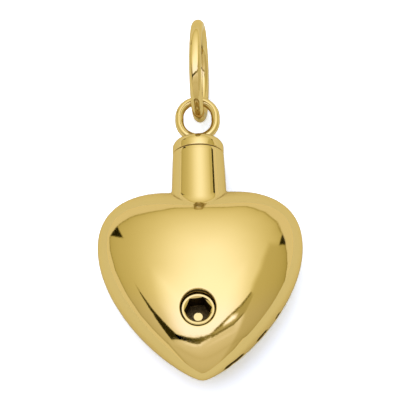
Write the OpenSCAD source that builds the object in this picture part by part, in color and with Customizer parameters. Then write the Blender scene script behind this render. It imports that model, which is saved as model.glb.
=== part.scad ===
// Keepsake urn pendant: a hollow puffed heart with a round neck, a domed neck cap that
// carries a soldered loop, a jump ring through the loop and a socket screw that closes
// the chamber. The pendant lies on its plain side with the screw facing up.
// Every piece is drawn in the heart's own frame, +X across the heart, +Y from the tip
// towards the ring and +Z out of the screw side, and is then laid on the surface z = 0.

/* [Heart] */
// Width of the heart across its lobes
heart_w = 16; // [14:0.5:20]
// Height of the lobes above the middle of the heart
lobe_h = 5.5; // [4.8:0.1:6.6]
// Depth of the tip below the middle of the heart
tip_h = 10.1; // [9:0.05:12.5]
// Depth of the cleft below the top of the lobes, under the neck
cleft_depth = 0.2; // [0.1:0.05:0.5]
// Thickness of the heart from face to face
heart_t = 7.4; // [6.6:0.1:9]
// Thickness of the heart's wall
wall = 0.9; // [0.7:0.05:1.1]
// Height of the crown of each face above the middle of the heart
crown_y = -0.9; // [-1.3:0.1:-0.4]
// Fullness of the rounded section, where 2 is an ellipse and more is blunter
fullness = 2; // [1.9:0.05:2.3]

/* [Neck] */
// Length of the neck that stands clear above the lobes
neck_h = 3.36; // [3:0.02:4.5]
// Diameter of the neck at its seam with the cap
neck_top_d = 4.04; // [3.6:0.02:4.4]
// Diameter of the neck where it enters the lobes
neck_base_d = 4.32; // [4:0.02:4.8]

/* [Neck cap] */
// Height of the cap above the seam
cap_h = 1.2; // [1:0.02:1.4]
// Radius of the cap's round shoulder
cap_round = 0.7; // [0.5:0.05:0.9]
// Diameter of the spigot under the cap
spigot_d = 2.2; // [1.8:0.1:2.5]
// Length of the spigot under the cap
spigot_h = 1.8; // [1.4:0.1:2.1]

/* [Loop] */
// Width of the loop outside its wire
loop_w = 3.55; // [3.2:0.05:3.9]
// Height of the loop outside its wire
loop_h = 3.88; // [3.6:0.02:4.3]
// Diameter of the loop's wire
loop_wire = 0.68; // [0.5:0.02:0.7]
// Depth of the solder joint between the loop and the cap
loop_sink = 0.04; // [0.02:0.01:0.2]
// Height of the solder that flows up the foot of the loop
solder_h = 0.3; // [0.2:0.05:0.4]

/* [Jump ring] */
// Diameter of the jump ring outside its wire
ring_d = 8.2; // [7.4:0.1:9]
// Diameter of the jump ring's wire
ring_wire = 0.96; // [0.7:0.02:1]
// Lean of the jump ring away from upright, in degrees
ring_lean = 4.5; // [0:0.5:7]
// Turn of the jump ring about the vertical, out of the pendant's line, in degrees
ring_turn = 1.7; // [0:0.1:3]
// Distance of the jump ring to the side of the loop's middle
ring_side = 0.2; // [0:0.05:0.3]
// Slack between the jump ring's wire and the top of the loop
ring_slack = 0.54; // [0.3:0.01:0.7]
// Width of the cut where the jump ring closes
ring_cut = 0.1; // [0.03:0.01:0.16]
// Slant of the cut across the wire, in degrees
ring_cut_slant = 25; // [0:5:35]

/* [Closure screw] */
// Outside diameter of the screw's thread
screw_d = 2.6; // [2.4:0.04:2.9]
// Length of the screw
screw_l = 2.4; // [2:0.1:2.6]
// Distance of the screw below the middle of the heart
screw_drop = 5.35; // [4.8:0.05:5.6]
// Distance of the screw to the side of the middle line
screw_side = -0.26; // [-0.3:0.02:0.3]
// Depth of the screw's face below the surface round it
screw_sink = 0.42; // [0.35:0.01:0.6]
// Width of the hexagon socket across its flats
hex_flats = 1.85; // [1.5:0.05:1.85]
// Depth of the hexagon socket
hex_depth = 1.6; // [1:0.05:1.7]
// Turn of the hexagon socket in its place, in degrees
hex_turn = 6; // [0:1:30]
// Pitch of the screw's thread
thread_pitch = 0.45; // [0.4:0.05:0.5]
// Depth of the screw's thread
thread_depth = 0.1; // [0.06:0.01:0.13]
// Width of the bevel round the screw's face
screw_bevel = 0.06; // [0.04:0.01:0.1]
// Wall of the threaded boss round the screw
boss_wall = 0.75; // [0.6:0.05:1]
// Diameter of the filling hole below the screw
fill_d = 1.8; // [1.4:0.1:2]
// Thickness of the seat that the screw closes on
seat_h = 0.5; // [0.4:0.05:0.7]

/* [Rim cuts] */
// Depth of the cuts in the rim
slit_depth = 0.24; // [0.15:0.01:0.35]
// Width of the cuts in the rim
slit_w = 0.75; // [0.5:0.05:0.9]

/* [Fits] */
// Gap round the screw in its bore
thread_gap = 0.07; // [0.03:0.01:0.1]
// Gap at the seam and round the spigot of the cap
seam_gap = 0.04; // [0.03:0.01:0.06]
// Gap between the screw and its seat
seat_gap = 0.03; // [0.02:0.01:0.05]

/* [Lying] */
// Angle by which the neck end dips towards the surface, in degrees
dip = 4; // [2:0.5:5]

/* [Hidden] */
gold = [0.83, 0.67, 0.32];
screw_gold = [0.74, 0.60, 0.30];
round_fn = 64;
overlap = 0.05;

// Half outline of the heart in shares of the half width across and of the lobe's
// height or the tip's depth along: [across, along] of each end point and handle.
CLEFT_HANDLE = [0.13, 0.01];
SHOULDER_X = 0.37;
SHOULDER_HANDLES = [0.17, 0.27];
SIDE_Y = 0.17;
SIDE_HANDLES = [0.66, 0.56];
TIP_HANDLE = 0.175;
CLEFT_STEPS = 5;
SHOULDER_STEPS = 11;
FLANK_STEPS = 16;
DOME_STEPS = 13;

// The outline keeps its own shape at the rim and turns into a soft egg at the middle,
// which has no cleft. The higher the power, the nearer to the rim it does so. The
// egg's half width, top and tip are shares of the heart's, counted from the crown.
BLEND_POWER = 5;
EGG_X = 0.95;
EGG_TOP = 1.07;
EGG_TIP = 0.86;

// Height at which the neck ends inside the heart, as a share of the lobes' height
NECK_FOOT = 0.6;

// Cuts in the lower right rim: place as a share of the flank from the side to the
// tip, and length as a share of the flank's height
SLITS = [[0.37, 0.08], [0.49, 0.13], [0.69, 0.20]];
// Distance of the cuts' middle below the widest line, as a share of their width
SLIT_DROP = 0.36;

seam_y = lobe_h + neck_h;
neck_foot_y = lobe_h * NECK_FOOT;
loop_cx = (loop_w - loop_wire) / 2;
loop_straight = loop_h - loop_w;
cap_top_y = seam_y + cap_h;
loop_y = cap_top_y + loop_h / 2 - loop_sink;
bore_r = screw_d / 2 + thread_gap;
thread_r = screw_d / 2;
thread_count = floor((screw_l - 2 * thread_pitch) / thread_pitch);

// Height of a face of the heart at a share f of the way out to its outline
function dome(f, half_t) = half_t * pow(max(0, 1 - pow(f, fullness)), 1 / fullness);

// Point of a cubic curve through p0 and p3 with the handles p1 and p2
function curve_point(p0, p1, p2, p3, s) =
    pow(1 - s, 3) * p0 + 3 * pow(1 - s, 2) * s * p1 + 3 * (1 - s) * s * s * p2 + pow(s, 3) * p3;

// Point at a share s of the right flank, from the widest place to the tip
function flank_point(s, inset) =
    let (
        half_w = heart_w / 2 - inset,
        tip = tip_h - inset,
        side = [half_w, SIDE_Y * (lobe_h - inset)],
        end = [0, -tip]
    )
    curve_point(side, side - [0, SIDE_HANDLES[1] * tip], end + [TIP_HANDLE * half_w, 0], end, s);

// Right half of the heart's outline from the cleft to the tip, for a heart whose
// sides all lie the length inset inside the outer one
function half_outline(inset) =
    let (
        half_w = heart_w / 2 - inset,
        top = lobe_h - inset,
        cleft = [0, lobe_h - cleft_depth - inset],
        shoulder = [SHOULDER_X * half_w, top],
        side = flank_point(0, inset)
    )
    concat(
        [for (i = [0 : CLEFT_STEPS - 1]) curve_point(
            cleft,
            cleft + [CLEFT_HANDLE[0] * half_w, CLEFT_HANDLE[1] * top],
            shoulder - [SHOULDER_HANDLES[0] * half_w, 0],
            shoulder, i / CLEFT_STEPS)],
        [for (i = [0 : SHOULDER_STEPS - 1]) curve_point(
            shoulder,
            shoulder + [SHOULDER_HANDLES[1] * half_w, 0],
            side + [0, SIDE_HANDLES[0] * top],
            side, i / SHOULDER_STEPS)],
        [for (i = [0 : FLANK_STEPS]) flank_point(i / FLANK_STEPS, inset)]
    );

// Whole outline, clockwise from the cleft
function outline(inset) =
    let (half = half_outline(inset), last = len(half) - 1)
    concat(half, [for (i = [last - 1 : -1 : 1]) [-half[i][0], half[i][1]]]);

// Reach of the soft egg from the crown, in the direction [x, y] of length 1
function egg_reach(way, inset) =
    let (
        egg_x = EGG_X * (heart_w / 2 - inset),
        egg_top = EGG_TOP * (lobe_h - inset),
        egg_tip = EGG_TIP * (tip_h - inset),
        egg_y = (egg_top + egg_tip) / 2 + way[1] * (egg_top - egg_tip) / 2
    )
    1 / norm([way[0] / egg_x, way[1] / egg_y]);

// Point at a share f of the way from the crown to the outline's point p
function skin_point(p, f, inset) =
    let (
        d = p - [0, crown_y],
        own = pow(f, BLEND_POWER),
        reach = f * (own + (1 - own) * egg_reach(d / norm(d), inset) / norm(d))
    )
    [d[0] * reach, crown_y + d[1] * reach];

// Closed puffed heart whose skin lies the length inset inside the outer one
module puffed_heart(inset) {
    rim = outline(inset);
    count = len(rim);
    half_t = heart_t / 2 - inset;
    angles = [for (k = [-DOME_STEPS + 1 : DOME_STEPS - 1]) 90 * k / DOME_STEPS];
    rows = len(angles);
    points = concat(
        [[0, crown_y, -half_t]],
        [for (a = angles) for (p = rim)
            let (f = pow(cos(a), 2 / fullness), q = skin_point(p, f, inset))
            [q[0], q[1], sign(a) * dome(f, half_t)]],
        [[0, crown_y, half_t]]
    );
    crown = len(points) - 1;
    faces = concat(
        [for (i = [0 : count - 1]) [0, 1 + (i + 1) % count, 1 + i]],
        [for (r = [0 : rows - 2]) for (i = [0 : count - 1]) for (half = [0, 1])
            let (
                a = 1 + r * count + i,
                b = 1 + r * count + (i + 1) % count,
                c = b + count,
                d = a + count
            )
            half == 0 ? [a, b, c] : [a, c, d]],
        [for (i = [0 : count - 1])
            [crown, 1 + (rows - 1) * count + i, 1 + (rows - 1) * count + (i + 1) % count]]
    );
    polyhedron(points = points, faces = faces, convexity = 4);
}

// Share f at which the skin lies the length drop below the crown on the middle line,
// found from a first guess by correcting it a few times
function share_below_crown(drop, guess, steps) =
    let (
        d = tip_h + crown_y,
        own = pow(guess, BLEND_POWER),
        found = guess * (own * d + (1 - own) * egg_reach([0, -1], 0))
    )
    steps == 0 ? guess : share_below_crown(drop, guess * drop / found, steps - 1);

// Height of the screw's face above the middle plane
screw_below_crown = screw_drop + crown_y;
screw_share = share_below_crown(screw_below_crown, screw_below_crown / tip_h, 12);
screw_face_z = dome(screw_share, heart_t / 2) - screw_sink;

// Depths of the screw's own stack below its face
screw_foot_z = screw_face_z - screw_l;
seat_z = screw_foot_z - seat_gap;
boss_foot_z = seat_z - seat_h;

// Height of the heart's middle above the surface that it lies on
dip_power = fullness / (fullness - 1);
lift = pow(pow(egg_reach([0, 1], 0) * sin(dip), dip_power) + pow(heart_t / 2 * cos(dip), dip_power),
        1 / dip_power) + crown_y * sin(dip);

// Jump ring, standing on the surface and passing through the top of the loop
ring_r = (ring_d - ring_wire) / 2;
ring_z = ring_r * cos(ring_lean) + ring_wire / 2;
loop_top_y = loop_y + loop_h / 2 - loop_wire;
pass_y = loop_top_y - ring_slack - ring_wire / 2;
pass_z = lift - pass_y * sin(dip);
ring_y = pass_y * cos(dip) + sqrt(pow(ring_r, 2) - pow((ring_z - pass_z) / cos(ring_lean), 2));

// Place of the heart's middle along the surface that puts the box's middle at y = 0
tip_reach = pow(pow(tip_h * cos(dip), dip_power) + pow(heart_t / 2 * sin(dip), dip_power), 1 / dip_power);
middle_y = (tip_reach - (ring_y + ring_r + ring_wire / 2)) / 2;

// Lays a piece on the surface, with its neck end dipped
module lay_down() {
    translate([0, middle_y, lift]) rotate([-dip, 0, 0]) children();
}

// Round bar along +Y from the height y0 to y1 of the heart's frame
module bar(r0, r1, y0, y1) {
    translate([0, y0, 0]) rotate([-90, 0, 0]) cylinder(r1 = r0, r2 = r1, h = y1 - y0, $fn = round_fn);
}

// Upright round post at the screw's place, from the height z0 to z1
module post(r, z0, z1) {
    translate([screw_side, -screw_drop, z0]) cylinder(r = r, h = z1 - z0, $fn = round_fn);
}

// Shallow round-ended cut in the lower right flank, at a share s of it
module rim_slit(s, length) {
    p = flank_point(s, 0);
    along = flank_point(s + 0.01, 0) - p;
    half = max(overlap, length - slit_w) / 2;
    translate([p[0], p[1], -SLIT_DROP * slit_w])
        rotate([0, 0, atan2(along[1], along[0])]) rotate([90, 0, 0])
            linear_extrude(height = 2 * slit_depth, center = true) {
                square([2 * half, slit_w], center = true);
                for (end = [-half, half])
                    translate([end, 0]) circle(d = slit_w, $fn = 24);
            }
}

module heart_body() {
    color(gold) lay_down()
        difference() {
            union() {
                puffed_heart(0);
                bar(neck_base_d / 2 + (neck_base_d - neck_top_d) / 2 * (lobe_h - neck_foot_y) / neck_h,
                    neck_top_d / 2, neck_foot_y, seam_y);
            }
            difference() {
                puffed_heart(wall);
                post(bore_r + boss_wall, boss_foot_z, heart_t);
                bar(neck_base_d / 2 + wall, neck_base_d / 2 + wall, neck_foot_y - wall, seam_y);
            }
            post(bore_r, seat_z, heart_t);
            post(fill_d / 2, boss_foot_z - overlap, seat_z + overlap);
            bar(spigot_d / 2 + seam_gap, spigot_d / 2 + seam_gap, seam_y - spigot_h - seam_gap, seam_y + overlap);
            for (slit = SLITS)
                rim_slit(slit[0], slit[1] * tip_h);
        }
}

module loop() {
    for (end = [0, 180])
        translate([0, loop_y, 0]) rotate([0, 0, end]) translate([0, loop_straight / 2, 0])
            rotate_extrude(angle = 180, $fn = round_fn) translate([loop_cx, 0]) circle(d = loop_wire, $fn = 24);
    for (side = [-1, 1])
        translate([side * loop_cx, 0, 0])
            bar(loop_wire / 2, loop_wire / 2, loop_y - loop_straight / 2, loop_y + loop_straight / 2);
}

module neck_cap() {
    cap_r = neck_top_d / 2;
    color(gold) lay_down() {
        bar(cap_r, cap_r, seam_y + seam_gap, cap_top_y - cap_round);
        bar(cap_r - cap_round, cap_r - cap_round, seam_y + seam_gap, cap_top_y);
        intersection() {
            translate([0, cap_top_y - cap_round, 0]) rotate([-90, 0, 0])
                rotate_extrude($fn = round_fn) translate([cap_r - cap_round, 0]) circle(r = cap_round, $fn = 48);
            bar(neck_top_d, neck_top_d, cap_top_y - cap_round, cap_top_y + cap_round);
        }
        bar(spigot_d / 2, spigot_d / 2, seam_y - spigot_h, seam_y + seam_gap + overlap);
        bar(cap_r - cap_round, loop_wire / 2, cap_top_y - overlap, cap_top_y + solder_h);
        loop();
    }
}

module closure_screw() {
    color(screw_gold) lay_down() translate([screw_side, -screw_drop, screw_foot_z])
        difference() {
            union() {
                cylinder(r1 = thread_r - thread_depth, r2 = thread_r, h = thread_depth, $fn = round_fn);
                translate([0, 0, thread_depth])
                    cylinder(r = thread_r, h = screw_l - thread_depth - screw_bevel, $fn = round_fn);
                translate([0, 0, screw_l - screw_bevel])
                    cylinder(r1 = thread_r, r2 = thread_r - screw_bevel, h = screw_bevel, $fn = round_fn);
            }
            for (i = [1 : thread_count])
                rotate_extrude($fn = round_fn)
                    translate([thread_r, i * thread_pitch]) circle(r = thread_depth, $fn = 4);
            translate([0, 0, screw_l - hex_depth]) rotate([0, 0, hex_turn])
                cylinder(r = hex_flats / 2 / cos(30), h = hex_depth + overlap, $fn = 6);
        }
}

module jump_ring() {
    color(gold) translate([ring_side, middle_y + ring_y, ring_z]) rotate([0, -ring_lean, -ring_turn])
        difference() {
            rotate([0, 90, 0]) rotate_extrude($fn = round_fn) translate([ring_r, 0]) circle(d = ring_wire, $fn = 32);
            translate([0, -ring_r, 0]) rotate([0, -ring_cut_slant, 0])
                cube([3 * ring_wire, 2 * ring_wire, ring_cut], center = true);
        }
}

heart_body();
neck_cap();
closure_screw();
jump_ring();
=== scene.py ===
"""Looks of the keepsake urn pendant: a hollow puffed heart with a round neck, a domed cap
with a soldered loop, an upright jump ring and the socket screw that closes the chamber.

Lengths are in millimetres in the heart's own frame, +X across the heart, +Y from the tip
towards the ring and +Z out of the screw side, until a piece is laid on the surface.
"""
import logging
import math
from dataclasses import dataclass, field, replace
from enum import Enum
from functools import cached_property
from typing import Any, Callable, Sequence

import bmesh
import bpy
import numpy as np
from mathutils import Matrix, Vector


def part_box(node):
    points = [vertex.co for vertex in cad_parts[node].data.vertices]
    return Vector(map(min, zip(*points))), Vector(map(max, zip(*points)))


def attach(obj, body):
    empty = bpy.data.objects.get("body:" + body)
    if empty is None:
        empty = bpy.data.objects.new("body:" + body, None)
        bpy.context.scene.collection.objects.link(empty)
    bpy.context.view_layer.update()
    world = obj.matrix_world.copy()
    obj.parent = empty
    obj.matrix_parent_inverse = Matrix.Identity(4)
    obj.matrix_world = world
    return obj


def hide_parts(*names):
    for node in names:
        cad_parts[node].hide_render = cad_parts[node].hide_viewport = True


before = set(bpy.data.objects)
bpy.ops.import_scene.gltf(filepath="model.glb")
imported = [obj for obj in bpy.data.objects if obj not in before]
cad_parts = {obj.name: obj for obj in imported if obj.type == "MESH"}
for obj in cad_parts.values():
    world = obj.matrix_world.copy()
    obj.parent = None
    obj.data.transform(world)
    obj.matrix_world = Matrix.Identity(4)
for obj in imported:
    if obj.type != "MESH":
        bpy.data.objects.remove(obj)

LOG = logging.getLogger("pendant")
METRES = 0.001
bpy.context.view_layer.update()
Array = np.ndarray
Pair = tuple[float, float]
Triple = tuple[float, float, float]

# Points on the outline's curves, fine enough to read places off them
OUTLINE_STEPS = 6000
SHOULDER_STEPS = 4000
FLANK_STEPS = 400

# Places of a Mix node's factor, colours and result among its sockets
MIX_FACTOR, MIX_FIRST, MIX_SECOND, MIX_COLOUR = 0, 6, 7, 2

# Keeps a distance of nothing from dividing by nothing
TINY = 1e-9

# Darkness painted on the faces inside the pendant and in the seam between neck and cap
INSIDE = 0.8


# Mesh helpers


class Surface:
    """Collects rings of points and the faces between them, and makes one mesh of them."""

    def __init__(self) -> None:
        """Starts empty."""
        self._points: list[Array] = []
        self._recess: list[Array] = []
        self._quads: list[Array] = []
        self._triangles: list[Array] = []
        self._count = 0

    def ring(self, points: Array, recess: float | Array = 0.0) -> Array:
        """Adds a row of points.

        Args:
            points: the points, one a row, in millimetres.
            recess: how dark each point is painted, as shade and tarnish in grooves and recesses, from 0 to 1.

        Returns:
            The numbers of the new points.
        """
        points = np.atleast_2d(points)
        self._points.append(points)
        self._recess.append(np.broadcast_to(np.asarray(recess, float), (len(points),)))
        numbers = np.arange(self._count, self._count + len(points))
        self._count += len(points)
        return numbers

    def bridge(self, lower: Array, upper: Array) -> Array:
        """Adds a band of quads between two rows that go round, with as many points each.

        Args:
            lower: point numbers of one row.
            upper: point numbers of the other row.

        Returns:
            The numbers of the upper row, so that bands can be chained.
        """
        self._quads.append(np.stack([lower, np.roll(lower, -1), np.roll(upper, -1), upper], axis=1))
        return upper

    def band(self, row: Array, points: Array, recess: float | Array = 0.0) -> Array:
        """Adds a row of points and the band from the last row to it, and gives the new row."""
        return self.bridge(row, self.ring(points, recess))

    def fan(self, centre: Array, rim: Array, recess: float = 0.0) -> None:
        """Closes a ring with triangles round a new centre point.

        Args:
            centre: the centre point, in millimetres.
            rim: point numbers of the ring.
            recess: how dark the centre is painted, as shade and tarnish, from 0 to 1.
        """
        middle = np.repeat(self.ring(centre, recess), len(rim))
        self._triangles.append(np.stack([middle, rim, np.roll(rim, -1)], axis=1))

    def build(self, name: str, place: Callable[[Array], Array], crease_deg: float = 32.0) -> bpy.types.Object:
        """Makes the object.

        All faces are turned outwards, and edges sharper than the crease angle stay sharp.

        Args:
            name: name of the piece.
            place: turns points in millimetres into the row frame in metres.
            crease_deg: angle in degrees past which an edge stays sharp.

        Returns:
            The new object, at the origin.
        """
        faces = np.concatenate(self._quads).tolist() + np.concatenate(self._triangles).tolist()
        mesh = bpy.data.meshes.new(name)
        mesh.from_pydata(place(np.concatenate(self._points)).tolist(), [], faces)
        shade = mesh.attributes.new("recess", "FLOAT", "POINT")
        shade.data.foreach_set("value", np.concatenate(self._recess).astype(np.float32))
        turned = bmesh.new()
        turned.from_mesh(mesh)
        bmesh.ops.recalc_face_normals(turned, faces=turned.faces)
        turned.to_mesh(mesh)
        turned.free()
        mesh.shade_smooth()
        mesh.set_sharp_from_angle(angle=math.radians(crease_deg))
        piece = bpy.data.objects.new(name, mesh)
        bpy.context.scene.collection.objects.link(piece)
        return piece


def around(count: int, start_deg: float = 0.0) -> Array:
    """Angles of a full turn in radians.

    Args:
        count: how many angles.
        start_deg: the first angle in degrees.

    Returns:
        The angles, evenly spaced, without the last that would repeat the first.
    """
    return math.radians(start_deg) + np.arange(count) * 2 * math.pi / count


def quarter(steps: int) -> Array:
    """Angles of a quarter turn in radians, in so many even steps, without the 0."""
    return np.linspace(0, math.pi / 2, steps + 1)[1:]


def bezier(points: Sequence[Sequence[float]], steps: int) -> Array:
    """Cubic curve: the four points weighted by the Bernstein polynomials of the share s.

    Args:
        points: start, first handle, second handle and end.
        steps: number of points on the curve, both ends counted.

    Returns:
        The curve's points, one a row.
    """
    s = np.linspace(0, 1, steps)[:, None]
    p = np.asarray(points, float)
    return (1 - s) ** 3 * p[0] + 3 * (1 - s) ** 2 * s * p[1] + 3 * (1 - s) * s**2 * p[2] + s**3 * p[3]


def smooth(value: float | Array) -> float | Array:
    """Smooth step of a value from 0 to 1: 3 v squared less 2 v cubed, held at both ends."""
    v = np.clip(value, 0, 1)
    return v * v * (3 - 2 * v)


# Forms


@dataclass(frozen=True)
class HeartForm:
    """Skin of the puffed heart: an outline that turns into a soft egg towards the crown."""

    half_width: float = 8.0
    lobe_h: float = 5.5
    tip_h: float = 10.1
    half_t: float = 3.7
    cleft_depth: float = 0.2
    crown_y: float = -0.9
    cleft_handle: Pair = (0.13, 0.01)
    shoulder_x: float = 0.37
    shoulder_handles: Pair = (0.17, 0.27)
    side_y: float = 0.17
    side_handles: Pair = (0.66, 0.56)
    tip_handle: float = 0.175
    blend_power: float = 5.0
    egg_x: float = 0.95
    egg_top: float = 1.07
    egg_tip: float = 0.86
    newton_steps: int = 10

    def inset(self, depth: float) -> "HeartForm":
        """The same heart with every side moved inwards by a depth."""
        return replace(
            self,
            half_width=self.half_width - depth,
            lobe_h=self.lobe_h - depth,
            tip_h=self.tip_h - depth,
            half_t=self.half_t - depth,
        )

    @property
    def side(self) -> Array:
        """Widest point of the right side."""
        return np.array([self.half_width, self.side_y * self.lobe_h])

    def flank(self, steps: int) -> Array:
        """Right flank from the widest point to the tip, as a cubic curve with so many points."""
        tip = np.array([0, -self.tip_h])
        handles = [
            self.side - [0, self.side_handles[1] * self.tip_h],
            tip + [self.tip_handle * self.half_width, 0],
        ]
        return bezier([self.side, *handles, tip], steps)

    def shoulder(self, steps: int) -> Array:
        """Right shoulder from the cleft to the widest point, as two cubic curves of so many points."""
        cleft = np.array([0, self.lobe_h - self.cleft_depth])
        top = np.array([self.shoulder_x * self.half_width, self.lobe_h])
        rise = bezier(
            [
                cleft,
                cleft + [self.cleft_handle[0] * self.half_width, self.cleft_handle[1] * self.lobe_h],
                top - [self.shoulder_handles[0] * self.half_width, 0],
                top,
            ],
            steps,
        )
        turn = bezier(
            [
                top,
                top + [self.shoulder_handles[1] * self.half_width, 0],
                self.side + [0, self.side_handles[0] * self.lobe_h],
                self.side,
            ],
            steps,
        )
        return np.vstack([rise[:-1], turn])

    @cached_property
    def right_half(self) -> Array:
        """Right half of the outline, from the cleft to the tip."""
        return np.vstack([self.shoulder(OUTLINE_STEPS)[:-1], self.flank(OUTLINE_STEPS)])

    def reach(self, centre: Array, angles: Array) -> Array:
        """Distance from a point inside the heart to its outline, read off the curve's own angles.

        Args:
            centre: the point inside.
            angles: directions in radians.

        Returns:
            The distance in each direction.
        """
        right = self.right_half
        whole = np.vstack([right, right[-2:0:-1] * [-1, 1]]) - centre
        ways = np.arctan2(whole[:, 1], whole[:, 0])
        return np.interp(angles, ways, np.hypot(whole[:, 0], whole[:, 1]), period=2 * math.pi)

    def share(self, points: Array, most: float = 1.0) -> Array:
        """Share of the way from the crown to the outline at which the skin passes each point.

        The skin lies at the distance f times (egg plus (outline less egg) times f to the
        blend power) from the crown, and the share f is found from it by Newton's steps.

        Args:
            points: places in the heart's plane, with x and y last.
            most: the share is held under this.

        Returns:
            The share at each place, from 0 to 1, or more for places outside the outline.
        """
        away = points - np.array([0, self.crown_y])
        distance = np.hypot(away[..., 0], away[..., 1]) + TINY
        way = away / distance[..., None]
        outline = self.reach(np.array([0, self.crown_y]), np.arctan2(away[..., 1], away[..., 0]))
        top, tip = self.egg_top * self.lobe_h, self.egg_tip * self.tip_h
        egg_y = (top + tip) / 2 + way[..., 1] * (top - tip) / 2
        egg = 1 / np.hypot(way[..., 0] / (self.egg_x * self.half_width), way[..., 1] / egg_y)
        power = self.blend_power
        f = np.clip(distance / outline, 0, most)
        for _ in range(self.newton_steps):
            own = f**power
            slope = egg + (outline - egg) * (power + 1) * own
            f = np.clip(f - (f * (egg + (outline - egg) * own) - distance) / slope, 0, most)
        return f

    def height(self, points: Array) -> Array:
        """Height of the skin over each place: half the thickness times the root of 1 less f squared."""
        return self.half_t * np.sqrt(np.clip(1 - self.share(points) ** 2, 0, 1))


@dataclass(frozen=True)
class Lying:
    """How the pendant lies: its neck end dips, and its middle stands over a place of the surface."""

    dip_deg: float
    middle_y: float
    lift: float

    def place(self, points: Array) -> Array:
        """Turns points of the heart's frame about X by the dip, moves them and makes them metres."""
        c, s = math.cos(math.radians(self.dip_deg)), math.sin(math.radians(self.dip_deg))
        x, y, z = np.asarray(points, float).T
        return np.stack([x, y * c + z * s + self.middle_y, z * c - y * s + self.lift], axis=1) * METRES

    @property
    def up(self) -> Vector:
        """Direction of the heart's +Z in the row frame."""
        return Vector((0, math.sin(math.radians(self.dip_deg)), math.cos(math.radians(self.dip_deg))))


@dataclass(frozen=True)
class Sizes:
    """Sizes that more than one piece needs, in millimetres."""

    dip_deg: float = 4.0
    neck_h: float = 3.36
    neck_top_r: float = 2.02
    neck_base_r: float = 2.16
    cap_h: float = 1.2
    spigot_r: float = 1.1
    spigot_h: float = 1.8
    seam_gap: float = 0.04
    screw_r: float = 1.3
    screw_l: float = 2.4
    screw_x: float = -0.26
    screw_y: float = -5.35
    screw_sink: float = 0.42
    thread_gap: float = 0.07
    thread_pitch: float = 0.45
    thread_depth: float = 0.1
    seat_gap: float = 0.03
    seat_h: float = 0.5
    seam_floor: float = 0.04
    form: HeartForm = field(default_factory=HeartForm)

    @property
    def seam_y(self) -> float:
        """Height of the seam between neck and cap."""
        return self.form.lobe_h + self.neck_h

    @property
    def screw_at(self) -> Array:
        """Place of the screw's axis."""
        return np.array([self.screw_x, self.screw_y])

    @property
    def bore_r(self) -> float:
        """Radius of the screw's bore between its grooves."""
        return self.screw_r + self.thread_gap

    @property
    def screw_face_z(self) -> float:
        """Height of the screw's face: the skin's height there less the sink."""
        on_middle = np.array([[0, self.screw_y]])
        return float(self.form.height(on_middle)[0]) - self.screw_sink

    def neck_r(self, y: Array) -> Array:
        """Radius of the neck's cone at a height."""
        taper = (self.neck_base_r - self.neck_top_r) / self.neck_h
        return self.neck_top_r + taper * (self.seam_y - y)

    def round_neck(self, angle: Array, radius: float | Array, y: float | Array) -> Array:
        """Points round the neck's axis: the radius times the angle's sine and cosine, at a height."""
        out, up = np.broadcast_to(radius, angle.shape), np.broadcast_to(y, angle.shape)
        return np.stack([out * np.sin(angle), up, out * np.cos(angle)], axis=1)

    def round_screw(self, angle: Array, radius: float | Array, z: float | Array) -> Array:
        """Points round the screw's axis: the radius times the angle's cosine and sine, at a height."""
        out, up = np.broadcast_to(radius, angle.shape), np.broadcast_to(z, angle.shape)
        return np.stack([self.screw_x + out * np.cos(angle), self.screw_y + out * np.sin(angle), up], axis=1)

    def lying(self) -> Lying:
        """The pendant's place, worked out so that it fills the CAD model's box."""
        dip = math.radians(self.dip_deg)
        form = self.form
        top = form.egg_top * form.lobe_h
        back = math.hypot(top * math.sin(dip), form.half_t * math.cos(dip))
        tip = math.hypot(form.tip_h * math.cos(dip), form.half_t * math.sin(dip))
        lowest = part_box("heart_body")[0]
        return Lying(self.dip_deg, lowest.y / METRES + tip, back + form.crown_y * math.sin(dip))


# Shader helpers


class Value:
    """A shader socket that Python's operators work on; each operation adds a Math node."""

    def __init__(self, graph: "Graph", socket: bpy.types.NodeSocket) -> None:
        """Keeps the graph and the output socket."""
        self.graph = graph
        self.socket = socket

    def math(self, operation: str, *others: "Value | float") -> "Value":
        """Adds one Math node with this value first.

        Args:
            operation: Blender's name of the operation.
            others: further inputs, values or numbers.

        Returns:
            The node's result.
        """
        return self.graph.add("ShaderNodeMath", {"operation": operation}, [self, *others])

    def __add__(self, other: "Value | float") -> "Value":
        """Sum."""
        return self.math("ADD", other)

    def __radd__(self, other: float) -> "Value":
        """Sum with the number first."""
        return self.math("ADD", other)

    def __sub__(self, other: "Value | float") -> "Value":
        """Difference."""
        return self.math("SUBTRACT", other)

    def __rsub__(self, other: float) -> "Value":
        """Number less this value."""
        return self.graph.add("ShaderNodeMath", {"operation": "SUBTRACT"}, [other, self])

    def __mul__(self, other: "Value | float") -> "Value":
        """Product."""
        return self.math("MULTIPLY", other)

    def __truediv__(self, other: "Value | float") -> "Value":
        """Quotient."""
        return self.math("DIVIDE", other)

    def __pow__(self, other: float) -> "Value":
        """Power."""
        return self.math("POWER", other)

    def __neg__(self) -> "Value":
        """Value with its sign turned."""
        return self * -1.0

    def __abs__(self) -> "Value":
        """Value without its sign."""
        return self.math("ABSOLUTE")

    def shifted(self, by: float) -> "Value":
        """This vector moved by the same length along each axis."""
        return self.graph.add("ShaderNodeVectorMath", {"operation": "ADD"}, [self, (by, by, by)])

    def dot(self, weights: Sequence[float]) -> "Value":
        """Dot product of this vector with fixed weights."""
        inputs = [self, tuple(float(weight) for weight in weights)]
        return self.graph.add("ShaderNodeVectorMath", {"operation": "DOT_PRODUCT"}, inputs, "Value")

    def between(self, low: float, high: float) -> "Value":
        """Smooth step of the value from 0 at low to 1 at high."""
        settings = {"interpolation_type": "SMOOTHSTEP"}
        inputs = {"Value": self, "From Min": low, "From Max": high}
        return self.graph.add("ShaderNodeMapRange", settings, inputs)


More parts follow.
